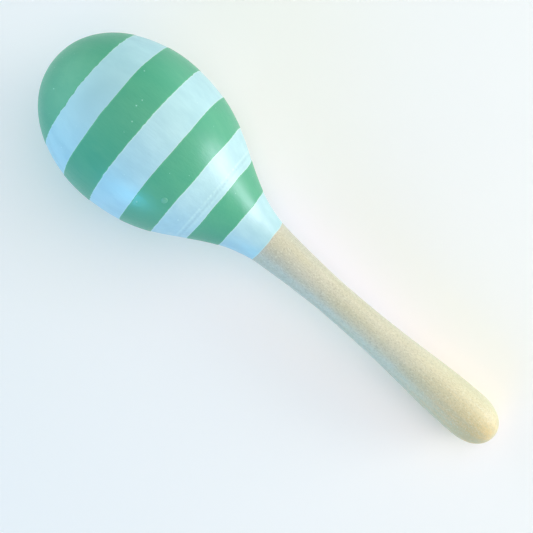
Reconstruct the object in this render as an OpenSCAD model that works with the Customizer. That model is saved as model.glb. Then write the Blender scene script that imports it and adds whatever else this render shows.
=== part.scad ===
// Wooden maraca: a hollow turned head with loose pellets inside, glued to a turned handle.
// The head and the neck are painted white, with four green bands over the white.
// It lies as it comes to rest: on the round of its head and on the swell of its handle,
// with the crown towards -X, the handle towards +X, and the floor at Z = 0.
// "Station" means the distance from the crown along the maraca's own axis.

/* [Overall] */
// Length from the crown to the butt of the handle
total_len = 200; // [180:1:230]

/* [Head] */
// Greatest diameter of the head
head_d = 56.7; // [52:0.1:60]
// Station of the greatest diameter
head_peak = 35.5; // [33:0.5:38]
// Roundness of the crown at its pole, as a part of the head's radius
crown_round = 0.63; // [0.58:0.01:0.68]
// Fullness of the crown beside the greatest diameter
crown_full = 0.49; // [0.44:0.01:0.54]
// Fullness of the lower head beside the greatest diameter
lower_full = 0.5; // [0.44:0.01:0.54]
// Thickness of the hollow head's wall
wall = 4; // [3:0.1:5]

/* [Neck] */
// Station where the neck's flare ends and the bare handle starts
neck_end = 91.8; // [88:0.1:96]
// Diameter of the neck there
neck_d = 16.4; // [15:0.1:18]
// Taper of the neck there, as a fall in radius per length
neck_taper = 0.18; // [0.12:0.01:0.24]
// Reach of that taper up into the flare, as a part of the lower head's length
neck_reach = 0.4; // [0.34:0.01:0.46]

/* [Handle] */
// Diameter at the waist, where the handle is thinnest
waist_d = 12.6; // [11:0.1:14]
// Station of the waist
waist_at = 121.5; // [116:0.5:128]
// Diameter at the swell, where the handle is thickest
swell_d = 17.7; // [16:0.1:20]
// Distance of the swell from the butt
swell_inset = 13; // [10:0.5:16]
// Fullness of the butt's rounded corner
butt_full = 0.92; // [0.8:0.01:0.95]
// Roundness of the butt at its tip, as a part of the swell's radius
butt_round = 0.24; // [0.2:0.01:0.4]

/* [Paint] */
// Thickness of a coat of paint
coat = 0.1; // [0.06:0.01:0.2]
// Length over which the white coat thins out to nothing at the bare handle
coat_feather = 3; // [1:0.5:6]
// Station where the green cap on the crown ends
green_1_end = 14.9; // [10:0.1:20]
// Stations where the second green band starts and ends
green_2 = [25.7, 37.4]; // [22:0.1:40]
// Stations where the third green band starts and ends
green_3 = [49.1, 59.4]; // [48:0.1:62]
// Stations where the fourth green band starts and ends
green_4 = [70.4, 79.3]; // [69:0.1:86]

/* [Glue joint] */
// Station of the seam between the hollow head and the handle's flared neck
seam_at = 67.7; // [66:0.1:68.5]
// Depth of the socket in the head's mouth
socket_deep = 8; // [6:0.5:9]
// Radial gap left for the glue
glue_gap = 0.05; // [0.02:0.01:0.1]

/* [Pellets] */
// Diameter of a pellet
pellet_d = 4; // [3:0.1:4.2]
// Rows of pellets side by side across the head
pellet_rows = 5; // [3:2:5]
// Pellets in a row
row_pellets = 6; // [3:1:6]
// Distance between neighbouring pellets' lanes
pellet_pitch = 4.7; // [4.5:0.1:4.8]
// Distance of the middle of the pellets from the crown, along the floor
pellets_at = 38; // [36:0.5:38]
// Gap between a pellet and the wall at each end of its lane
pellet_gap = 0.15; // [0.1:0.01:0.3]

/* [Hidden] */
$fn = 96;
head_r = head_d / 2;
neck_r = neck_d / 2;
waist_r = waist_d / 2;
swell_r = swell_d / 2;
swell_at = total_len - swell_inset;
lower_len = neck_end - head_peak;
waist_run = waist_at - neck_end;
grip_len = swell_at - waist_at;

// Lengths of the inner Bezier handles from the neck to the swell, as parts of their stretches
neck_ease = 0.1;
waist_ease = 0.2;
waist_long = 0.54;
swell_ease = 0.34;

// Places along the outline are [station, radius]
crown = [0, 0];
peak = [head_peak, head_r];
neck = [neck_end, neck_r];
waist = [waist_at, waist_r];
swell = [swell_at, swell_r];
butt = [total_len, 0];
taper = [1, -neck_taper];

// The outline is five Bezier stretches, each [start, handle, handle, end]
stretches = [
  [crown, crown + [0, crown_round * head_r], peak - [crown_full * head_peak, 0], peak],
  [peak, peak + [lower_full * lower_len, 0], neck - neck_reach * lower_len * taper, neck],
  [neck, neck + neck_ease * waist_run * taper, waist - [waist_ease * waist_run, 0], waist],
  [waist, waist + [waist_long * grip_len, 0], swell - [swell_ease * grip_len, 0], swell],
  [swell, swell + [butt_full * swell_inset, 0], butt + [0, butt_round * swell_r], butt]
];
stretch_steps = [14, 14, 6, 14, 12];

// Place and slope angle at u on one stretch, as [station, radius, angle]
function on_stretch(k, u) =
  let (v = 1 - u)
  let (p = v * v * v * k[0] + 3 * v * v * u * k[1] + 3 * v * u * u * k[2] + u * u * u * k[3])
  let (d = v * v * (k[1] - k[0]) + 2 * v * u * (k[2] - k[1]) + u * u * (k[3] - k[2]))
  [p[0], p[1], atan2(d[1], d[0])];

outline = [
  for (k = [0 : len(stretches) - 1])
    for (i = [(k == 0 ? 0 : 1) : stretch_steps[k]])
      on_stretch(stretches[k], i / stretch_steps[k])
];
radius_table = [for (q = outline) [q[0], q[1]]];
angle_table = [for (q = outline) [q[0], q[2]]];

// The outline's place at a station, and a place moved out along its normal
function at_station(s) = [s, lookup(s, radius_table), lookup(s, angle_table)];
function raised(q, h) = [q[0] - h * sin(q[2]), q[1] + h * cos(q[2])];

// The stretch of outline between two stations, both ends included
near = 0.01;
function between(a, b) = concat(
  [at_station(a)],
  [for (q = outline) if (q[0] > a + near && q[0] < b - near) q],
  [at_station(b)]
);

// rotate_extrude takes [radius, height], with the height along the maraca's axis
function turned(places) = [for (q = places) [q[1], q[0]]];
function backwards(list) = [for (i = [len(list) - 1 : -1 : 0]) list[i]];

// Tilt at which the head and the handle touch the floor together
mid_station = waist_at;
function drop(q, tilt) = q[1] * cos(tilt) + q[0] * sin(tilt);
function head_drop(tilt) = max([for (q = outline) if (q[0] < mid_station) drop(q, tilt)]);
function handle_drop(tilt) = max([for (q = outline) if (q[0] > mid_station) drop(q, tilt)]);
function level(low, high, turns) =
  let (mid = (low + high) / 2)
  turns == 0 ? mid
  : head_drop(mid) > handle_drop(mid) ? level(mid, high, turns - 1)
  : level(low, mid, turns - 1);
lie = level(0, 20, 40);
crown_height = head_drop(lie);

// Ends of the lying maraca along X, measured from the crown's pole
near_end = min([
  for (q = between(0, green_1_end))
    let (p = raised(q, coat))
    p[0] * cos(lie) - p[1] * sin(lie)
]);
far_end = max([for (q = outline) q[0] * cos(lie) + q[1] * sin(lie)]);
crown_x = -(near_end + far_end) / 2;

// Head's chamber and mouth
socket_r = lookup(seam_at, radius_table) - wall;
socket_end = seam_at - socket_deep;
lip_run = 3;
lip_start = socket_end - lip_run;
spigot_r = socket_r - glue_gap;
spigot_end = socket_end + 0.2;
spigot_edge = 0.5;
centre_mark_r = 1.5;
centre_mark_deep = 2;

// Wood under the neck's white coat, which thins out to a sharp edge on the bare handle
bed_start = seam_at + 0.5;
bed_end = neck_end - coat_feather;
coat_bed = concat(
  [[seam_at, lookup(seam_at, radius_table) - coat]],
  [for (q = outline) if (q[0] > bed_start && q[0] < bed_end) raised(q, -coat)],
  [neck]
);

// Pellets lie side by side on the floor of the chamber, each in an upright lane of its own
pellet_r = pellet_d / 2;
lane_wall = [
  for (q = outline)
    if (q[0] <= neck_end)
      let (p = raised(q, -(wall + pellet_gap + pellet_r)))
      [p[0], p[1]]
];
pellet_count = pellet_rows * row_pellets;
row_stagger = 0.25;

function pellet_x(i) =
  let (row = floor(i / row_pellets))
  let (shift = row % 2 == 0 ? -row_stagger : row_stagger)
  crown_x + pellets_at + pellet_pitch * (i % row_pellets - (row_pellets - 1) / 2 + shift);
function pellet_y(i) = pellet_pitch * (floor(i / row_pellets) - (pellet_rows - 1) / 2);

// Height of the pellet's centre at the foot (side = -1) or the top (side = 1) of a lane
function lane_z(x, y, side, z = crown_height, turns = 12) =
  turns == 0 ? z
  : let (run = x - crown_x)
    let (s = run * cos(lie) - (z - crown_height) * sin(lie))
    let (r = lookup(s, lane_wall))
    let (w = side * sqrt(r * r - y * y))
    lane_z(x, y, side, crown_height + (w - run * sin(lie)) / cos(lie), turns - 1);

function pellet_name(i) = str("pellet_", i + 1);

// Turn about the maraca's own axis, so that each turned solid closes on itself at its side,
// clear of the floor
seam_turn = 90;

// Lays a piece that is turned about Z down into its resting place
module laid() {
  translate([crown_x, 0, crown_height])
    rotate([0, 90 + lie, 0])
      rotate([0, 0, seam_turn])
        children();
}

// Hollow cup: the outline outside, the chamber inside, and a socket in its mouth
module head_shell() {
  chamber = [for (q = between(0, lip_start)) raised(q, -wall)];
  places = concat(
    between(0, seam_at),
    [[seam_at, socket_r], [socket_end, socket_r]],
    backwards([for (p = chamber) [p[0], max(p[1], 0)]])
  );
  color("honeydew")
    laid()
      rotate_extrude()
        polygon(turned(places));
}

// Flared neck and grip in one turning, with a spigot that the head is glued on
module handle() {
  grip = [for (q = outline) if (q[0] > neck_end + near) [q[0], max(q[1], 0)]];
  places = concat(
    [[spigot_end + centre_mark_deep, 0], [spigot_end, centre_mark_r]],
    [[spigot_end, spigot_r - spigot_edge], [spigot_end + spigot_edge, spigot_r]],
    [[seam_at, spigot_r]],
    coat_bed,
    grip
  );
  color("wheat")
    laid()
      rotate_extrude()
        polygon(turned(places));
}

// Coat of white paint on the handle's flare, flush with the head and with the bare grip
module neck_white_coat() {
  skin = between(seam_at, neck_end);
  bed = [for (p = coat_bed) if (p[0] < neck_end - near) p];
  places = concat(skin, backwards(bed));
  color("honeydew")
    laid()
      rotate_extrude()
        polygon(turned(places));
}

// Band of green paint over the white, from one station to another
module green_band(a, b) {
  outer = [for (q = between(a, b)) raised(q, coat)];
  places = concat(
    [for (p = outer) [p[0], max(p[1], 0)]],
    backwards(between(a, b))
  );
  color("mediumaquamarine")
    laid()
      rotate_extrude()
        polygon(turned(places));
}

module pellet(i) {
  x = pellet_x(i);
  y = pellet_y(i);
  color("silver")
    translate([x, y, lane_z(x, y, -1)])
      sphere(r = pellet_r, $fn = 32);
}

head_shell();
handle();
neck_white_coat();
green_band(0, green_1_end);  // green_band_1
green_band(green_2[0], green_2[1]);  // green_band_2
green_band(green_3[0], green_3[1]);  // green_band_3
green_band(green_4[0], green_4[1]);  // green_band_4
for (i = [0 : pellet_count - 1])
  pellet(i);
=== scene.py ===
"""Looks of a wooden maraca: turned head and handle, white enamel, four green bands, steel shot inside."""

import math
import bpy
import numpy as np
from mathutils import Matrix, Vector


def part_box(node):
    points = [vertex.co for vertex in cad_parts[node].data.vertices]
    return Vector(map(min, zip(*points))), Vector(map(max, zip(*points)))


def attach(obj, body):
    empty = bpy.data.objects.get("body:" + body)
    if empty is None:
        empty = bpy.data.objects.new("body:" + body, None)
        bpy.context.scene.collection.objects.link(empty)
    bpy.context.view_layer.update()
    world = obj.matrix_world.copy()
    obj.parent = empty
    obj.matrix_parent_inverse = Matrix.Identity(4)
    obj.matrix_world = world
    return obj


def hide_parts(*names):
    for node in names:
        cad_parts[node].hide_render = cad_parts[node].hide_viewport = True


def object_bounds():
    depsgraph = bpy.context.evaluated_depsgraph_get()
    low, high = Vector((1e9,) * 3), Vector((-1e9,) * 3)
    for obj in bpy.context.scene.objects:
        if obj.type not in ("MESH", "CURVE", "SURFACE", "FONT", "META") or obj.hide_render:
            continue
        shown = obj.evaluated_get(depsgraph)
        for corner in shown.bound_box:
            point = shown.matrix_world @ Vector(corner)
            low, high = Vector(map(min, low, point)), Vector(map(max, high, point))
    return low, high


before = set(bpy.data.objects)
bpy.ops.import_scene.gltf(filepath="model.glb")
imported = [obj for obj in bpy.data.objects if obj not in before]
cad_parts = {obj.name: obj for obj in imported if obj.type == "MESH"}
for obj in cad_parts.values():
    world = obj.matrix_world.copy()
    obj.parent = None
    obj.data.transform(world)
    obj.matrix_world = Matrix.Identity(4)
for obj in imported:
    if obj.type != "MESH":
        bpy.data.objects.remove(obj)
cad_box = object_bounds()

# ---- Driving dimensions of the CAD part, in millimetres along and across the maraca's own axis ----
TOTAL_LEN = 200.0
HEAD_R = 56.7 / 2
HEAD_PEAK = 35.5
CROWN_ROUND, CROWN_FULL, LOWER_FULL = 0.63, 0.49, 0.5
WALL = 4.0
NECK_END = 91.8
NECK_R = 16.4 / 2
NECK_TAPER, NECK_REACH, NECK_EASE = 0.18, 0.4, 0.1
WAIST_AT, WAIST_R = 121.5, 12.6 / 2
WAIST_EASE, WAIST_LONG, SWELL_EASE = 0.2, 0.54, 0.34
SWELL_AT, SWELL_R = 187.0, 17.7 / 2
BUTT_FULL, BUTT_ROUND = 0.92, 0.24
COAT = 0.1
COAT_FEATHER = 3.0
SEAM_AT = 67.7
SOCKET_DEEP = 8.0
LIP_RUN = 3.0
GLUE_GAP = 0.05
SPIGOT_SHORT, SPIGOT_EDGE = 0.2, 0.5
CENTRE_MARK_R, CENTRE_MARK_DEEP = 1.5, 2.0
PELLET_R = 2.0

MM = 0.001
HEAD_TURN = 384  # points round the head and the neck
HANDLE_TURN = 192  # points round the handle
RING = 0.7  # distance between rings
WIDE_RING = 1.2  # the same where green paint covers them
SEAM_RING = 0.2  # the same within SEAM_STRETCH of the glue seam
SEAM_STRETCH = 1.6
CHAMBER_RING = 0.6


# ---- Outline: station along the axis, radius and slope, all as functions of the station ----
def outline():
    """Stations, radii and slope angles of the outline's five Bezier stretches, closely spaced."""
    lower = NECK_END - HEAD_PEAK
    run = WAIST_AT - NECK_END
    grip = SWELL_AT - WAIST_AT
    inset = TOTAL_LEN - SWELL_AT
    crown, peak, neck = (0, 0), (HEAD_PEAK, HEAD_R), (NECK_END, NECK_R)
    waist, swell, butt = (WAIST_AT, WAIST_R), (SWELL_AT, SWELL_R), (TOTAL_LEN, 0)
    stretches = (
        (crown, (0, CROWN_ROUND * HEAD_R), (HEAD_PEAK * (1 - CROWN_FULL), HEAD_R), peak),
        (
            peak,
            (HEAD_PEAK + LOWER_FULL * lower, HEAD_R),
            (NECK_END - NECK_REACH * lower, NECK_R + NECK_REACH * lower * NECK_TAPER),
            neck,
        ),
        (
            neck,
            (NECK_END + NECK_EASE * run, NECK_R - NECK_EASE * run * NECK_TAPER),
            (WAIST_AT - WAIST_EASE * run, WAIST_R),
            waist,
        ),
        (
            waist,
            (WAIST_AT + WAIST_LONG * grip, WAIST_R),
            (SWELL_AT - SWELL_EASE * grip, SWELL_R),
            swell,
        ),
        (swell, (SWELL_AT + BUTT_FULL * inset, SWELL_R), (TOTAL_LEN, BUTT_ROUND * SWELL_R), butt),
    )
    u = np.linspace(0, 1, 400)[:, None]
    v = 1 - u
    places, slopes = [], []
    for stretch in stretches:
        a, b, c, d = (np.array(p, float) for p in stretch)
        place = v**3 * a + 3 * v * v * u * b + 3 * v * u * u * c + u**3 * d
        slope = v * v * (b - a) + 2 * v * u * (c - b) + u * u * (d - c)
        places.append(place[:-1])
        slopes.append(np.arctan2(slope[:-1, 1], slope[:-1, 0]))
    places.append(np.array([butt], float))
    slopes.append(np.array([-math.pi / 2]))
    places = np.vstack(places)
    return places[:, 0], places[:, 1], np.concatenate(slopes)


STATIONS, RADII, SLOPES = outline()
ARC = np.concatenate([[0], np.cumsum(np.hypot(np.diff(STATIONS), np.diff(RADII)))])


def radius(s):
    return np.interp(s, STATIONS, RADII)


def skin(s, lift):
    """Places on the outline at stations s, moved out by lift along its normal, as [station, radius]."""
    slope = np.interp(s, STATIONS, SLOPES)
    return np.stack([s - lift * np.sin(slope), radius(s) + lift * np.cos(slope)], axis=-1)


def lying():
    """Tilt at which the head and the handle touch the floor together, and the crown's height then."""
    head = STATIONS < WAIST_AT

    def drop(tilt, part):
        return np.max(RADII[part] * math.cos(tilt) + STATIONS[part] * math.sin(tilt))

    low, high = 0.0, math.radians(20)
    for _ in range(40):
        tilt = (low + high) / 2
        if drop(tilt, head) > drop(tilt, ~head):
            low = tilt
        else:
            high = tilt
    return tilt, drop(tilt, head)


LIE, CROWN_HEIGHT = lying()
AXIS = np.array([math.cos(LIE), 0, -math.sin(LIE)])
UP = np.array([math.sin(LIE), 0, math.cos(LIE)])
SIDE = np.array([0, 1, 0])
far_end = np.max(STATIONS * math.cos(LIE) + RADII * math.sin(LIE))
CROWN = np.array([cad_box[1].x / MM - far_end, 0, CROWN_HEIGHT])


def angles(turn):
    """Angles round the axis: 0 is uppermost, and a quarter turn faces +Y."""
    return np.arange(turn) * 2 * math.pi / turn


# ---- Irregularities of hand work, all from seeded waves ----
def hill(s, middle, width):
    """A smooth rise to 1 at middle, which has all but gone two widths away."""
    return np.exp(-(((s - middle) / width) ** 2))


def waves(angle, seed, lowest, highest):
    """A ripple round the axis with unit spread, made of the waves from lowest to highest per turn."""
    draw = np.random.RandomState(seed)
    total = np.zeros_like(angle)
    for k in range(lowest, highest + 1):
        total += draw.normal() * np.cos(k * angle + draw.uniform(0, 2 * math.pi))
    return total / max(np.std(total), 1e-9)


def relief(s, angle, seed, across, along, count=60):
    """A surface ripple with unit spread: up to across waves per turn, and wavelengths over along mm."""
    draw = np.random.RandomState(seed)
    total = np.zeros(np.broadcast(s, angle).shape)
    for _ in range(count):
        k = draw.randint(-across, across + 1)
        w = draw.uniform(-1, 1) * 2 * math.pi / along
        total += np.cos(k * angle + w * s + draw.uniform(0, 2 * math.pi))
    return total / math.sqrt(count / 2)


def nicks(angle, seed, count, depth):
    """Short uneven steps in a painted edge, where colour crept under the mask or came away with it."""
    draw = np.random.RandomState(seed)
    total = np.zeros_like(angle)
    for _ in range(count):
        centre = draw.uniform(0, 2 * math.pi)
        half = draw.uniform(0.01, 0.07)
        ramp = draw.uniform(0.006, 0.02)
        away = np.abs((angle - centre + math.pi) % (2 * math.pi) - math.pi)
        total += draw.normal() * depth * (0.5 - 0.5 * np.tanh((away - half) / ramp))
    return total


def border(station, seed, skew=0.0, wobble=0.07, ragged=0.02, steps=12, depth=0.05):
    """A painted edge round the head: a masked line that is a little askew, wavy and nicked."""
    angle = angles(HEAD_TURN)
    line = station + skew * np.sin(angle)
    line += wobble * waves(angle, seed, 2, 9)
    line += ragged * waves(angle, seed + 1, 12, 90)
    return line + nicks(angle, seed + 2, steps, depth)


BORDERS = {
    "cap_end": border(15.3, 11, skew=-0.3, ragged=0.045, steps=45, depth=0.11),
    "green_2_start": border(25.8, 21, skew=-0.5),
    "green_2_end": border(37.8, 31, skew=0.1, wobble=0.1, ragged=0.04, steps=60, depth=0.11),
    "green_3_start": border(49.1, 41, skew=-0.1),
    "green_3_end": border(59.75, 51, skew=0.1, wobble=0.08),
    "green_4_start": border(70.05, 61, skew=-0.1, wobble=0.08),
    "green_4_end": border(79.7, 71, skew=-0.1),
    "paint_end": border(
        NECK_END - 0.1, 81, skew=-0.15, wobble=0.05, ragged=0.015, steps=8, depth=0.03
    ),
}
PELLET_NODES = sorted(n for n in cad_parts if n.startswith("pellet_"))

# Dust nibs in the enamel, each with a painted highlight: station, angle in degrees, radius and height.
# The wide last one is a low dome that shows mostly as a patch of painted highlight.
NIBS = (
    (27.0, 31, 0.3, 0.12),
    (32.6, 14, 0.28, 0.1),
    (32.4, 9, 0.3, 0.12),
    (34.5, 0, 0.28, 0.1),
    (9.0, -24, 0.28, 0.1),
    (22.0, -50, 0.25, 0.1),
    (50.5, -42, 0.35, 0.12),
    (64.0, -42, 0.32, 0.12),
    (56.8, -29, 1.25, 0.04),
)
STRAY_NIBS = 60
NIB_RINGS, NIB_TURN = 3, 14
NIB_FOOT = 0.06  # how far a nib goes down into the paint
WIDE_NIB = 0.5  # radius above which a nib is seen by its painted highlight and not by its height

# Greyer places in the white: station, angle in degrees, length in mm, width in degrees and depth of tone.
# The first, over the top of the first white band, is painted shade; the other two are greyer patches
# lower down.
SHADE_AND_GREY_PLACES = (
    # painted shade over the top of the first white band
    (20.5, -6, 8, 30, 0.85),
    (22.0, 160, 7, 35, 0.6),
    (45.0, 120, 6, 25, 0.4),
)

# The glue seam: how far its two pale lips stand from it, how high they are and how deep it sinks
LIP_OUT = 0.85
LIP_LIFT, SEAM_SINK = 0.03, 0.06
LIP_TONE, SINK_TONE = 0.8, 0.6
RIDGE_LIFT = 0.015  # height of the paint along a masked edge


def all_nibs():
    """The nibs above, and smaller strays scattered over the whole painted surface."""
    draw = np.random.RandomState(5)
    strays = [
        (draw.uniform(4, 88), draw.uniform(-180, 180), draw.uniform(0.1, 0.2), draw.uniform(0.02, 0.06))
        for _ in range(STRAY_NIBS)
    ]
    return list(NIBS) + strays


def seam_profile(s, angle):
    """Across the glue seam: how far a pale lip stands on either side of it, and how deep it sinks
    between them, each from 0 to 1 and uneven round the axis."""
    uneven = np.clip(0.75 + 0.35 * relief(s, angle, 19, 110, 2.5), 0, 1.4)
    lips = hill(s, SEAM_AT - LIP_OUT, 0.3) + 0.5 * hill(s, SEAM_AT + LIP_OUT, 0.4)
    sink = hill(s, SEAM_AT + 0.05, 0.35)
    return uneven * lips, uneven * sink


def paint_lift(s, angle):
    """Ripple of the enamel, and the rough ground, the lips and the groove along the glue seam."""
    lips, sink = seam_profile(s, angle)
    lift = 0.012 * relief(s, angle, 3, 14, 9.0)
    lift += 0.03 * hill(s, SEAM_AT, 1.1) * np.abs(relief(s, angle, 9, 90, 1.3))
    return lift + LIP_LIFT * lips - SEAM_SINK * sink


def shade_and_grey_patches(s, angle):
    """How far the white turns grey, from 0 to 1: painted shade over the top of the first white band, and
    greyer patches lower down.
    """
    share = np.zeros(np.broadcast(s, angle).shape)
    for station, degrees, length, width, most in SHADE_AND_GREY_PLACES:
        away = (angle - math.radians(degrees) + math.pi) % (2 * math.pi) - math.pi
        share += most * hill(s, station, length) * hill(away, 0, math.radians(width))
    return np.clip(share * (1 + 0.15 * relief(s, angle, 23, 12, 8.0)), 0, 1)


# ---- Mesh building ----
def strip(start, end, step=RING, edge=True):
    """Stations from start to end, which may run either way, each row following both edges. With edge,
    rows are packed close to the edges."""
    start = np.broadcast_to(np.asarray(start, float), (HEAD_TURN,))
    end = np.broadcast_to(np.asarray(end, float), (HEAD_TURN,))
    lengths = np.interp([start.mean(), end.mean()], STATIONS, ARC)
    count = max(2, int(round(abs(lengths[1] - lengths[0]) / step)))
    even = np.interp(np.linspace(*lengths, count + 1), ARC, STATIONS)
    share = (even - even[0]) / (even[-1] - even[0])
    if edge:
        close = np.array([0.1, 0.22, 0.38]) / (even[-1] - even[0])
        share = np.unique(np.concatenate([share, close, 1 - close]))
    return start + (end - start) * share[:, None]


def turned_mesh(name, rows, loop=False, materials=(), material_of_row=None, values=None):
    """A piece of revolution from rows of [station, radius] round the axis. Rows of radius 0 are poles.
    loop joins the last row to the first. values holds one number per point for each named attribute."""
    turn = rows.shape[1]
    angle = angles(turn)
    around = np.cos(angle)[:, None] * UP + np.sin(angle)[:, None] * SIDE
    points, index = [], np.zeros(rows.shape[:2], int)
    used = []
    for j, row in enumerate(rows):
        pole = np.all(row[:, 1] < 1e-6)
        columns = [0] if pole else range(turn)
        for i in columns:
            index[j, i] = len(points)
            points.append(CROWN + row[i, 0] * AXIS + row[i, 1] * around[i])
            used.append((j, i))
        if pole:
            index[j, :] = index[j, 0]
    faces, face_rows = [], []
    last = len(rows) if loop else len(rows) - 1
    for j in range(last):
        k = (j + 1) % len(rows)
        for i in range(turn):
            n = (i + 1) % turn
            corners = [index[j, i], index[k, i], index[k, n], index[j, n]]
            face = list(dict.fromkeys(int(c) for c in corners))
            faces.append(face)
            face_rows.append(j)
    mesh = bpy.data.meshes.new(name)
    mesh.from_pydata((np.array(points) * MM).tolist(), [], faces)
    for material in materials:
        mesh.materials.append(material)
    if material_of_row is not None:
        mesh.polygons.foreach_set("material_index", [material_of_row[j] for j in face_rows])
    mesh.polygons.foreach_set("use_smooth", [True] * len(faces))
    mesh.set_sharp_from_angle(angle=math.radians(40))
    for key, table in (values or {}).items():
        attribute = mesh.attributes.new(key, "FLOAT", "POINT")
        attribute.data.foreach_set("value", [float(table[j, i]) for j, i in used])
    mesh.update()
    piece = bpy.data.objects.new(name, mesh)
    bpy.context.scene.collection.objects.link(piece)
    return piece


def straight(station, ring_radius, turn=HEAD_TURN):
    """One row at a station with the same radius all round."""
    return np.broadcast_to([station, ring_radius], (1, turn, 2)).astype(float)


def nearest_border(s):
    """Distance from each place to the nearest painted edge."""
    return np.min([np.abs(s - line) for line in BORDERS.values()], axis=0)


# ---- Materials ----
class Shader:
    """Short forms for building one node material."""

    def __init__(self, name):
        self.material = bpy.data.materials.new(name)
        self.material.use_nodes = True
        self.nodes = self.material.node_tree.nodes
        self.links = self.material.node_tree.links
        self.surface = self.nodes["Principled BSDF"]

    def add(self, kind, **settings):
        node = self.nodes.new(kind)
        for key, value in settings.items():
            setattr(node, key, value)
        return node

    def join(self, source, target):
        self.links.new(source, target)

    def axis_space(self, scale):
        """Coordinates along the maraca's axis and across it, in units of scale millimetres each way."""
        place = self.add("ShaderNodeTexCoord").outputs["Object"]
        level = self.add("ShaderNodeMapping", vector_type="TEXTURE")
        level.inputs["Location"].default_value = CROWN * MM
        level.inputs["Rotation"].default_value = (0, LIE, 0)
        level.inputs["Scale"].default_value = [s * MM for s in scale]
        self.join(place, level.inputs["Vector"])
        return level.outputs["Vector"]

    def noise(self, scale, detail=2.0, roughness=0.5):
        node = self.add("ShaderNodeTexNoise")
        node.inputs["Scale"].default_value = 1.0
        node.inputs["Detail"].default_value = detail
        node.inputs["Roughness"].default_value = roughness
        self.join(self.axis_space(scale), node.inputs["Vector"])
        return node.outputs["Fac"]

    def spread(self, value, low, high, to_low=0.0, to_high=1.0):
        node = self.add("ShaderNodeMapRange", clamp=True)
        ends = {"From Min": low, "From Max": high, "To Min": to_low, "To Max": to_high}
        for key, number in ends.items():
            node.inputs[key].default_value = number
        self.join(value, node.inputs["Value"])
        return node.outputs["Result"]

    def mix(self, share, a, b):
        """Blend of two colours, each a colour or another node's output."""
        node = self.add("ShaderNodeMix", data_type="RGBA")
        self.join(share, node.inputs["Factor"])
        for key, colour in (("A", a), ("B", b)):
            socket = next(i for i in node.inputs if i.name == key and i.type == "RGBA")
            if isinstance(colour, bpy.types.NodeSocket):
                self.join(colour, socket)
            else:
                socket.default_value = (*colour, 1)
        return next(o for o in node.outputs if o.type == "RGBA")

    def attribute(self, name):
        return self.add("ShaderNodeAttribute", attribute_name=name).outputs["Fac"]

    def bump(self, heights):
        """Stacked bumps from (height, strength, distance in millimetres)."""
        normal = None
        for height, strength, distance in heights:
            node = self.add("ShaderNodeBump")
            node.inputs["Strength"].default_value = strength
            node.inputs["Distance"].default_value = distance * MM
            self.join(height, node.inputs["Height"])
            if normal is not None:
                self.join(normal, node.inputs["Normal"])
            normal = node.outputs["Normal"]
        self.join(normal, self.surface.inputs["Normal"])


def enamel(name, rough, thick, thin, ridge, sink_and_shade):
    """Satin enamel over fine wood grain: its least and most roughness, and its colour where it lies
    thick, thin, along a masked edge or a seam's lip, and its grey tone where it sinks in the seam and
    where painted shade lies on it."""
    shader = Shader(name)
    cloud = shader.spread(shader.noise((12, 5, 5), detail=3, roughness=0.6), 0.38, 0.62)
    colour = shader.mix(cloud, thick, thin)
    streak = shader.spread(shader.noise((12, 1.4, 1.4), detail=1), 0.52, 0.75, 0, 0.35)
    colour = shader.mix(streak, colour, thin)
    colour = shader.mix(shader.attribute("ridge"), colour, ridge)
    # The seam attribute also carries painted shade, which takes this grey tone too.
    colour = shader.mix(shader.attribute("seam"), colour, sink_and_shade)
    shader.join(colour, shader.surface.inputs["Base Color"])
    satin = shader.spread(shader.noise((2.4, 0.6, 0.6), detail=2), 0.38, 0.62, *rough)
    shader.join(satin, shader.surface.inputs["Roughness"])
    shader.surface.inputs["IOR"].default_value = 1.5
    shader.surface.inputs["Specular IOR Level"].default_value = 0.25
    grain = shader.noise((3.2, 0.7, 0.7), detail=3, roughness=0.65)
    peel = shader.noise((3.0, 1.6, 1.6), detail=1)
    shader.bump([(grain, 0.65, 0.12), (peel, 0.3, 0.08)])
    return shader.material


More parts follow.
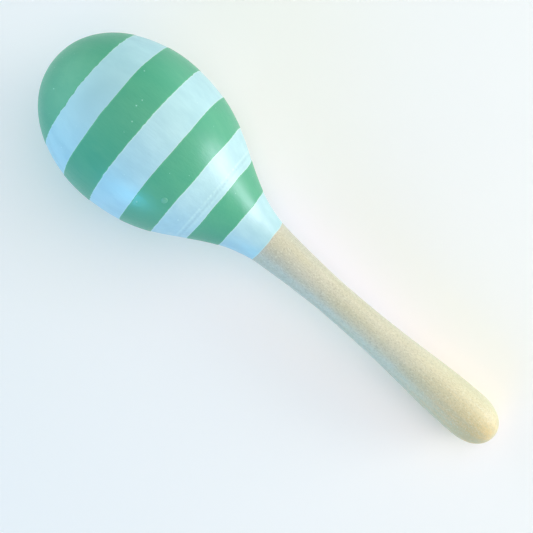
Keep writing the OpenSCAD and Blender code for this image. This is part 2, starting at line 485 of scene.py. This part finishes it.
def bare_wood(name):
    """Fine-grained pale hardwood, sanded and thinly lacquered, with its grain along the axis. It is
    greyer at the neck and honey-coloured at the butt, where painted light makes its +Y side paler and its
    -Y side orange."""
    shader = Shader(name)
    along = shader.add("ShaderNodeSeparateXYZ")
    shader.join(shader.axis_space((1, 1, 1)), along.inputs["Vector"])
    station = along.outputs["X"]
    neck = shader.spread(station, NECK_END, NECK_END + 40)
    butt = shader.spread(station, SWELL_AT - 35, TOTAL_LEN - 5)
    pale = shader.mix(neck, (0.68, 0.6, 0.49), (0.78, 0.67, 0.51))
    # Across the butt the wood is paler on the +Y side and orange on the -Y side: painted light and shade.
    painted_light_across = shader.spread(along.outputs["Y"], -8, 8)
    pale = shader.mix(butt, pale, shader.mix(painted_light_across, (0.95, 0.5, 0.12), (0.94, 0.84, 0.52)))
    growth = shader.spread(shader.noise((60, 2.2, 2.2), detail=3, roughness=0.6), 0.35, 0.68, 0, 0.45)
    colour = shader.mix(growth, pale, (0.62, 0.55, 0.4))
    cloud = shader.spread(shader.noise((20, 6, 6), detail=2), 0.42, 0.66, 0, 0.35)
    colour = shader.mix(cloud, colour, (0.72, 0.6, 0.38))
    fleck = shader.spread(shader.noise((0.8, 0.34, 0.34), detail=1), 0.5, 0.64, 0, 0.46)
    colour = shader.mix(fleck, colour, shader.mix(butt, (0.48, 0.39, 0.26), (0.66, 0.5, 0.24)))
    glint = shader.spread(shader.noise((0.7, 0.36, 0.36), detail=1), 0.57, 0.68, 0, 0.4)
    colour = shader.mix(glint, colour, (0.95, 0.88, 0.74))
    shader.join(colour, shader.surface.inputs["Base Color"])
    satin = shader.spread(shader.noise((2, 0.5, 0.5), detail=2), 0.3, 0.7, 0.48, 0.62)
    shader.join(satin, shader.surface.inputs["Roughness"])
    shader.surface.inputs["Specular IOR Level"].default_value = 0.3
    shader.surface.inputs["Sheen Weight"].default_value = 0.4
    shader.surface.inputs["Sheen Roughness"].default_value = 0.5
    shader.surface.inputs["Sheen Tint"].default_value = (0.8, 1.0, 1.0, 1)
    grain = shader.noise((1.8, 0.5, 0.5), detail=2, roughness=0.6)
    shader.bump([(grain, 0.4, 0.08)])
    return shader.material


def steel(name):
    """Dull rolled steel with faint scuffs."""
    shader = Shader(name)
    scuff = shader.spread(shader.noise((0.8, 0.8, 0.8), detail=4), 0.3, 0.7)
    colour = shader.mix(scuff, (0.56, 0.57, 0.58), (0.4, 0.41, 0.43))
    shader.join(colour, shader.surface.inputs["Base Color"])
    shader.surface.inputs["Metallic"].default_value = 1.0
    rough = shader.spread(shader.noise((0.5, 0.5, 0.5), detail=3), 0.3, 0.7, 0.22, 0.42)
    shader.join(rough, shader.surface.inputs["Roughness"])
    shader.bump([(shader.noise((0.4, 0.4, 0.4), detail=2), 0.2, 0.03)])
    return shader.material


WHITE_SATIN = (0.34, 0.42)
GREEN_SATIN = (0.31, 0.39)
WHITE = enamel(
    "white_enamel",
    WHITE_SATIN,
    thick=(0.57, 0.8, 0.86),
    thin=(0.51, 0.74, 0.81),
    ridge=(0.66, 0.87, 0.9),
    # Grey tone for the sunk seam and for painted shade over the top of the first white band
    sink_and_shade=(0.45, 0.67, 0.73),
)
GREEN = enamel(
    "green_enamel",
    GREEN_SATIN,
    thick=(0.125, 0.46, 0.285),
    thin=(0.11, 0.44, 0.275),
    ridge=(0.16, 0.5, 0.3),
    sink_and_shade=(0.1, 0.42, 0.26),
)
# Paler enamels for the dust nibs: a painted highlight on each nib.
PAINTED_HIGHLIGHT_GREEN = enamel(
    "green_nib_painted_highlight",
    GREEN_SATIN,
    thick=(0.36, 0.68, 0.57),
    thin=(0.3, 0.62, 0.5),
    ridge=(0.17, 0.51, 0.35),
    sink_and_shade=(0.3, 0.6, 0.5),
)
PAINTED_HIGHLIGHT_WHITE = enamel(
    "white_nib_painted_highlight",
    WHITE_SATIN,
    thick=(0.7, 0.9, 0.93),
    thin=(0.66, 0.87, 0.91),
    ridge=(0.7, 0.9, 0.93),
    sink_and_shade=(0.7, 0.9, 0.93),
)
WOOD = bare_wood("bare_wood")
STEEL = steel("steel_shot")


# ---- Pieces ----
def make_head():
    """The hollow head: painted outside, turned wood in its mouth and chamber."""
    lines = BORDERS
    s = np.vstack(
        [
            strip(0.0, lines["cap_end"], step=WIDE_RING, edge=False)[:-1],
            strip(lines["cap_end"], lines["green_2_start"])[:-1],
            strip(lines["green_2_start"], lines["green_2_end"], step=WIDE_RING)[:-1],
            strip(lines["green_2_end"], lines["green_3_start"])[:-1],
            strip(lines["green_3_start"], lines["green_3_end"], step=WIDE_RING)[:-1],
            strip(lines["green_3_end"], SEAM_AT - SEAM_STRETCH)[:-1],
            strip(SEAM_AT - SEAM_STRETCH, SEAM_AT, step=SEAM_RING, edge=False),
        ]
    )
    angle = angles(HEAD_TURN)[None, :]
    ridge = hill(nearest_border(s), 0, 0.2)
    lips, sink = seam_profile(s, angle)
    outside = skin(s, paint_lift(s, angle) + RIDGE_LIFT * ridge)
    outside[0, :, 1] = 0
    outside[-1, :, 0] = SEAM_AT
    socket_r = radius(SEAM_AT) - WALL
    socket_end = SEAM_AT - SOCKET_DEEP
    lip = strip(socket_end - LIP_RUN, 0.0, step=CHAMBER_RING, edge=False)
    tool_marks = 0.03 * np.sin(lip * 2 * math.pi / 1.6) + 0.01 * relief(lip, angle, 13, 6, 5.0)
    chamber = skin(lip, tool_marks - WALL)
    chamber[-1, :, 1] = 0
    inside = [
        straight(SEAM_AT, radius(SEAM_AT) - 0.5),
        straight(SEAM_AT, socket_r + 0.3),
        straight(SEAM_AT - 0.3, socket_r),
        straight(socket_end, socket_r),
        chamber,
    ]
    rows = np.vstack([outside, *inside])
    ridges, sink_and_shade = np.zeros(rows.shape[:2]), np.zeros(rows.shape[:2])
    ridges[: len(s)] = np.maximum(ridge, LIP_TONE * lips)
    # Grey tone where the seam sinks, and painted shade over the top of the first white band.
    sink_and_shade[: len(s)] = np.maximum(SINK_TONE * sink, shade_and_grey_patches(s, angle))
    bare = [0] * (len(s) - 1) + [1] * (len(rows) - len(s) + 1)
    piece = turned_mesh(
        "head",
        rows,
        materials=(WHITE, WOOD),
        material_of_row=bare,
        values={"ridge": ridges, "seam": sink_and_shade},
    )
    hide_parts("head_shell")
    return piece


def make_neck_coat():
    """White enamel on the handle's flare, which ends on the bare wood in a soft, ragged edge."""
    lines = BORDERS
    s = np.vstack(
        [
            strip(SEAM_AT, SEAM_AT + SEAM_STRETCH, step=SEAM_RING, edge=False)[:-1],
            strip(SEAM_AT + SEAM_STRETCH, lines["green_4_start"])[:-1],
            strip(lines["green_4_start"], lines["green_4_end"], step=WIDE_RING)[:-1],
            strip(lines["green_4_end"], lines["paint_end"]),
        ]
    )
    angle = angles(HEAD_TURN)[None, :]
    ridge = hill(nearest_border(s), 0, 0.2)
    round_off = np.clip((lines["paint_end"] - s) / 0.3, 0, 1)
    proud = 0.04 * np.sqrt(round_off * (2 - round_off)) * (s > NECK_END - 6)
    ripple = paint_lift(s, angle) * np.minimum(1, round_off + 0.2)
    outside = skin(s, ripple + proud + RIDGE_LIFT * ridge)
    outside[0, :, 0] = SEAM_AT
    back = s[::-1]
    inside = skin(back, np.full(back.shape, -COAT))
    inside[-1, :, 0] = SEAM_AT
    lips, sink = seam_profile(s, angle)
    ridges = np.vstack([np.maximum(ridge, LIP_TONE * lips), np.zeros(back.shape)])
    sink_and_shade = np.vstack([SINK_TONE * sink, np.zeros(back.shape)])
    piece = turned_mesh(
        "neck_coat",
        np.vstack([outside, inside]),
        loop=True,
        materials=(WHITE,),
        values={"ridge": ridges, "seam": sink_and_shade},
    )
    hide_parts("neck_white_coat")
    return piece


def make_green_band(number, start, end):
    """A band of green enamel with rounded edges, over the white. The first one is a cap on the crown."""
    cap = start is None
    start = np.zeros(HEAD_TURN) if cap else start
    s = strip(start, end)
    angle = angles(HEAD_TURN)[None, :]
    from_edge = end - s if cap else np.minimum(s - start, end - s)
    rise = np.clip(from_edge / 0.22, 0, 1)
    film = COAT * (0.25 + 0.75 * np.sqrt(rise * (2 - rise)))
    outside = skin(s, film + paint_lift(s, angle))
    back = strip(end, start, step=WIDE_RING, edge=False) if cap else s[::-1]
    inside = skin(back, np.full(back.shape, -COAT))
    ridges = np.vstack([hill(from_edge, 0, 0.3), np.zeros(back.shape)])
    if cap:
        outside[0, :, 1] = 0
        inside[-1, :, 1] = 0
    piece = turned_mesh(
        f"green_stripe_{number}",
        np.vstack([outside, inside]),
        loop=not cap,
        materials=(GREEN,),
        values={"ridge": ridges},
    )
    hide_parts(f"green_band_{number}")
    return piece


def make_handle():
    """The turned handle: spigot, flare under the paint, and the bare grip with its rounded butt."""
    turn = HANDLE_TURN
    angle = angles(turn)[None, :]
    spigot_r = radius(SEAM_AT) - WALL - GLUE_GAP
    top = SEAM_AT - SOCKET_DEEP + SPIGOT_SHORT
    bed_end = NECK_END - COAT_FEATHER
    lengths = np.interp([bed_end, TOTAL_LEN], STATIONS, ARC)
    count = int((lengths[1] - lengths[0]) / RING)
    grip = np.interp(np.linspace(*lengths, count + 1), ARC, STATIONS)[:, None]
    grip = np.broadcast_to(grip, (count + 1, turn))
    bed = np.clip((NECK_END - grip) / COAT_FEATHER, 0, 1) * -COAT
    bare = skin(grip, bed + 0.012 * relief(grip, angle, 17, 5, 14.0))
    bare[-1, :, 1] = 0
    under_coat = np.linspace(SEAM_AT, bed_end, 30)[:-1, None]
    flare = skin(under_coat, np.full((len(under_coat), turn), -COAT))
    flare[0, :, 0] = SEAM_AT
    rows = np.vstack(
        [
            straight(top + CENTRE_MARK_DEEP, 0.0, turn),
            straight(top, CENTRE_MARK_R, turn),
            straight(top, spigot_r - SPIGOT_EDGE, turn),
            straight(top + SPIGOT_EDGE, spigot_r, turn),
            straight(SEAM_AT - 0.01, spigot_r, turn),
            flare,
            bare,
        ]
    )
    piece = turned_mesh("grip_and_neck", rows, materials=(WOOD,))
    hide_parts("handle")
    return piece


def on_band(station, angle):
    """Is this place of the painted surface under a green band?"""
    column = int(round(angle / (2 * math.pi) * HEAD_TURN)) % HEAD_TURN
    lines = [line[column] for name, line in BORDERS.items() if name != "paint_end"]
    return sum(station > line for line in lines) % 2 == 0


def make_nibs(name, green, material):
    """Specks of dust under the enamel: a low dome over each, with a painted highlight in a paler tone of
    the paint there, or in its ridge tone on a wide one."""
    rings, turn = NIB_RINGS, NIB_TURN
    points, faces, wide_painted_highlight = [], [], []
    for station, degrees, size, height in all_nibs():
        a = math.radians(degrees) % (2 * math.pi)
        if on_band(station, a) != green or station > NECK_END - 1:
            continue
        around = math.cos(a) * UP + math.sin(a) * SIDE
        slope = np.interp(station, STATIONS, SLOPES)
        along = math.cos(slope) * AXIS + math.sin(slope) * around
        out = -math.sin(slope) * AXIS + math.cos(slope) * around
        across = np.cross(out, along)
        foot = CROWN + station * AXIS + radius(station) * around + (COAT if green else 0) * out
        first = len(points)
        points.append(foot + height * out)
        for j in range(1, rings + 1):
            share = j / rings
            drop = height * (1 - share**2) - (NIB_FOOT if j == rings else 0)
            for i in range(turn):
                b = 2 * math.pi * i / turn
                way = math.cos(b) * along + math.sin(b) * across
                points.append(foot + size * share * way + drop * out)
        points.append(foot - NIB_FOOT * out)
        wide_painted_highlight += [float(size > WIDE_NIB)] * (len(points) - first)
        for i in range(turn):
            n = (i + 1) % turn
            faces.append((first, first + 1 + i, first + 1 + n))
            for j in range(rings - 1):
                p, q = first + 1 + j * turn, first + 1 + (j + 1) * turn
                faces.append((p + i, q + i, q + n, p + n))
            q = first + 1 + (rings - 1) * turn
            faces.append((q + i, len(points) - 1, q + n))
    mesh = bpy.data.meshes.new(name)
    mesh.from_pydata((np.array(points) * MM).tolist(), [], faces)
    mesh.polygons.foreach_set("use_smooth", [True] * len(faces))
    mesh.attributes.new("ridge", "FLOAT", "POINT").data.foreach_set("value", wide_painted_highlight)
    mesh.materials.append(material)
    piece = bpy.data.objects.new(name, mesh)
    bpy.context.scene.collection.objects.link(piece)
    return piece


def make_pellet(node):
    """One steel shot, a ball a few hundredths out of round, where the CAD pellet is."""
    low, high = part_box(node)
    centre = np.array((low + high) / 2)
    rings, turn = 18, 28
    draw = np.random.RandomState(int(node.split("_")[1]))
    lumps = draw.normal(size=(4, 3))
    points = [centre + np.array([0, 0, PELLET_R]) * MM]
    for j in range(1, rings):
        polar = math.pi * j / rings
        for i in range(turn):
            round_angle = 2 * math.pi * i / turn
            way = np.array(
                [
                    math.sin(polar) * math.cos(round_angle),
                    math.sin(polar) * math.sin(round_angle),
                    math.cos(polar),
                ]
            )
            lump = np.mean(np.cos(2.5 * lumps @ way))
            points.append(centre + way * (PELLET_R + 0.03 * (lump - 1)) * MM)
    points.append(centre - np.array([0, 0, PELLET_R]) * MM)
    faces = [[0, 1 + i, 1 + (i + 1) % turn] for i in range(turn)]
    for j in range(rings - 2):
        a, b = 1 + j * turn, 1 + (j + 1) * turn
        faces += [[a + i, b + i, b + (i + 1) % turn, a + (i + 1) % turn] for i in range(turn)]
    a, end = 1 + (rings - 2) * turn, len(points) - 1
    faces += [[a + i, end, a + (i + 1) % turn] for i in range(turn)]
    mesh = bpy.data.meshes.new(node.replace("pellet", "shot"))
    mesh.from_pydata([list(p) for p in points], [], faces)
    mesh.polygons.foreach_set("use_smooth", [True] * len(faces))
    mesh.materials.append(STEEL)
    piece = bpy.data.objects.new(mesh.name, mesh)
    bpy.context.scene.collection.objects.link(piece)
    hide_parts(node)
    return piece


# ---- Stage, lights and camera ----
def make_floor():
    """A plain pale floor that glows though it is no lamp: a faint red glow near the maraca, which lights
    it from below, and a pink glow past the lights, which runs into the backdrop.
    """
    size = 12.0
    mesh = bpy.data.meshes.new("floor")
    corners = [(-size, -size, 0), (size, -size, 0), (size, size, 0), (-size, size, 0)]
    mesh.from_pydata(corners, [], [(0, 1, 2, 3)])
    shader = Shader("pale_floor")
    tone = shader.spread(shader.noise((400, 400, 400)), 0.3, 0.7)
    colour = shader.mix(tone, (0.95, 0.95, 0.95), (0.93, 0.93, 0.93))
    shader.join(colour, shader.surface.inputs["Base Color"])
    shader.surface.inputs["Roughness"].default_value = 0.9
    shader.surface.inputs["Specular IOR Level"].default_value = 0.1
    away = shader.add("ShaderNodeVectorMath", operation="LENGTH")
    shader.join(shader.add("ShaderNodeTexCoord").outputs["Object"], away.inputs["Vector"])
    far = shader.spread(away.outputs["Value"], *FAR_FLOOR)
    shader.join(shader.mix(far, FLOOR_GLOW, FAR_GLOW), shader.surface.inputs["Emission Color"])
    shader.surface.inputs["Emission Strength"].default_value = 1.0
    mesh.materials.append(shader.material)
    floor = bpy.data.objects.new("floor", mesh)
    bpy.context.scene.collection.objects.link(floor)


# Soft lights: azimuth from +X towards +Y and elevation in degrees, width and height in metres,
# watts, and colour. Each stands LIGHT_AWAY from the maraca and faces it. Those named glint only
# make highlights, and those of MATTE_LIGHTS make none. The colours were fitted to the photo's tones
# together with the materials', so they are tinted.
LIGHT_AWAY = 1.0
LIGHTS = {
    "window": (43, 14, 0.5, 0.4, 4.9, (1.0, 0.97, 0.88)),
    "window_glint": (40, 15, 0.35, 0.4, 13.0, (0.82, 0.78, 1.0)),
    "right_glint": (85, 6, 0.8, 0.2, 2.0, (0.9, 1.0, 0.95)),
    "sky_glint": (282, 6, 0.32, 0.14, 9.0, (0.15, 0.62, 1.0)),
    "crown_glint": (190, 25, 1.6, 1.0, 10.0, (1.0, 0.95, 0.9)),
    "crown_far": (0, 25, 0.8, 0.5, 0.4, (1.0, 0.85, 0.5)),
    "right": (90, 35, 0.8, 0.6, 0.7, (0.1, 0.2, 1.0)),
    "back": (200, 20, 1.2, 0.5, 2.7, (0.55, 0.78, 0.98)),
    "left_sky": (270, 22, 0.9, 0.6, 3.7, (0.03, 0.2, 1.0)),
    "left_far": (315, 20, 0.6, 0.4, 0.8, (1.0, 0.35, 0.1)),
    "overhead": (60, 75, 1.2, 1.2, 8.2, (1.0, 0.6, 0.63)),
}
MATTE_LIGHTS = ("window", "overhead", "left_sky")
WORLD_TONE = (0.03, 1.0, 0.78)
WORLD_STRENGTH = 0.36
BACKDROP_TONE = (0.84, 0.85, 0.85)
FLOOR_GLOW = (0.14, 0.07, 0.055)
FAR_GLOW = (0.83, 0.52, 0.59)
FAR_FLOOR = (0.6, 1.6)  # metres from the middle, from the one glow to the other


def make_lights():
    for name, (azimuth, elevation, width, height, watts, colour) in LIGHTS.items():
        a, e = math.radians(azimuth), math.radians(elevation)
        way = Vector((math.cos(a) * math.cos(e), math.sin(a) * math.cos(e), math.sin(e)))
        light = bpy.data.lights.new(name, "AREA")
        light.shape = "RECTANGLE"
        light.size, light.size_y = width, height
        light.energy = watts
        light.color = colour
        lamp = bpy.data.objects.new(name, light)
        lamp.location = way * LIGHT_AWAY
        lamp.rotation_euler = (-way).to_track_quat("-Z", "Y").to_euler()
        lamp.visible_diffuse = not name.endswith("glint")
        lamp.visible_glossy = name not in MATTE_LIGHTS
        bpy.context.scene.collection.objects.link(lamp)
    world = bpy.data.worlds.new("studio")
    world.use_nodes = True
    nodes, links = world.node_tree.nodes, world.node_tree.links
    sky = nodes["Background"]
    sky.inputs["Color"].default_value = (*WORLD_TONE, 1)
    sky.inputs["Strength"].default_value = WORLD_STRENGTH
    backdrop = nodes.new("ShaderNodeBackground")
    backdrop.inputs["Color"].default_value = (*BACKDROP_TONE, 1)
    seen = nodes.new("ShaderNodeMixShader")
    links.new(nodes.new("ShaderNodeLightPath").outputs["Is Camera Ray"], seen.inputs["Fac"])
    links.new(sky.outputs["Background"], seen.inputs[1])
    links.new(backdrop.outputs["Background"], seen.inputs[2])
    links.new(seen.outputs["Shader"], nodes["World Output"].inputs["Surface"])
    bpy.context.scene.world = world


CAMERA_PAST_CROWN = 96.67  # from the crown's pole along +X
CAMERA_ASIDE = -6.75  # along Y
CAMERA_ABOVE_CROWN = 260.0  # above the axis at the crown
CAMERA_TURN = 40.586  # degrees about the line of sight
CAMERA_LENS = 53.36


def make_camera():
    data = bpy.data.cameras.new("camera")
    data.lens = CAMERA_LENS
    data.sensor_width = 36
    data.clip_start, data.clip_end = 0.01, 20
    camera = bpy.data.objects.new("camera", data)
    place = CROWN + np.array([CAMERA_PAST_CROWN, CAMERA_ASIDE, CAMERA_ABOVE_CROWN])
    camera.location = place * MM
    camera.rotation_euler = (0, 0, math.radians(CAMERA_TURN))
    bpy.context.scene.collection.objects.link(camera)
    bpy.context.scene.camera = camera


make_camera()
make_lights()
make_floor()

fixed = [
    make_head(),
    make_handle(),
    make_neck_coat(),
    make_green_band(1, None, BORDERS["cap_end"]),
    make_green_band(2, BORDERS["green_2_start"], BORDERS["green_2_end"]),
    make_green_band(3, BORDERS["green_3_start"], BORDERS["green_3_end"]),
    make_green_band(4, BORDERS["green_4_start"], BORDERS["green_4_end"]),
    make_nibs("nibs_in_green", True, PAINTED_HIGHLIGHT_GREEN),
    make_nibs("nibs_in_white", False, PAINTED_HIGHLIGHT_WHITE),
]
for piece in fixed:
    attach(piece, "maraca")
for node in PELLET_NODES:
    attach(make_pellet(node), node)

bpy.context.scene.view_settings.view_transform = "Standard"
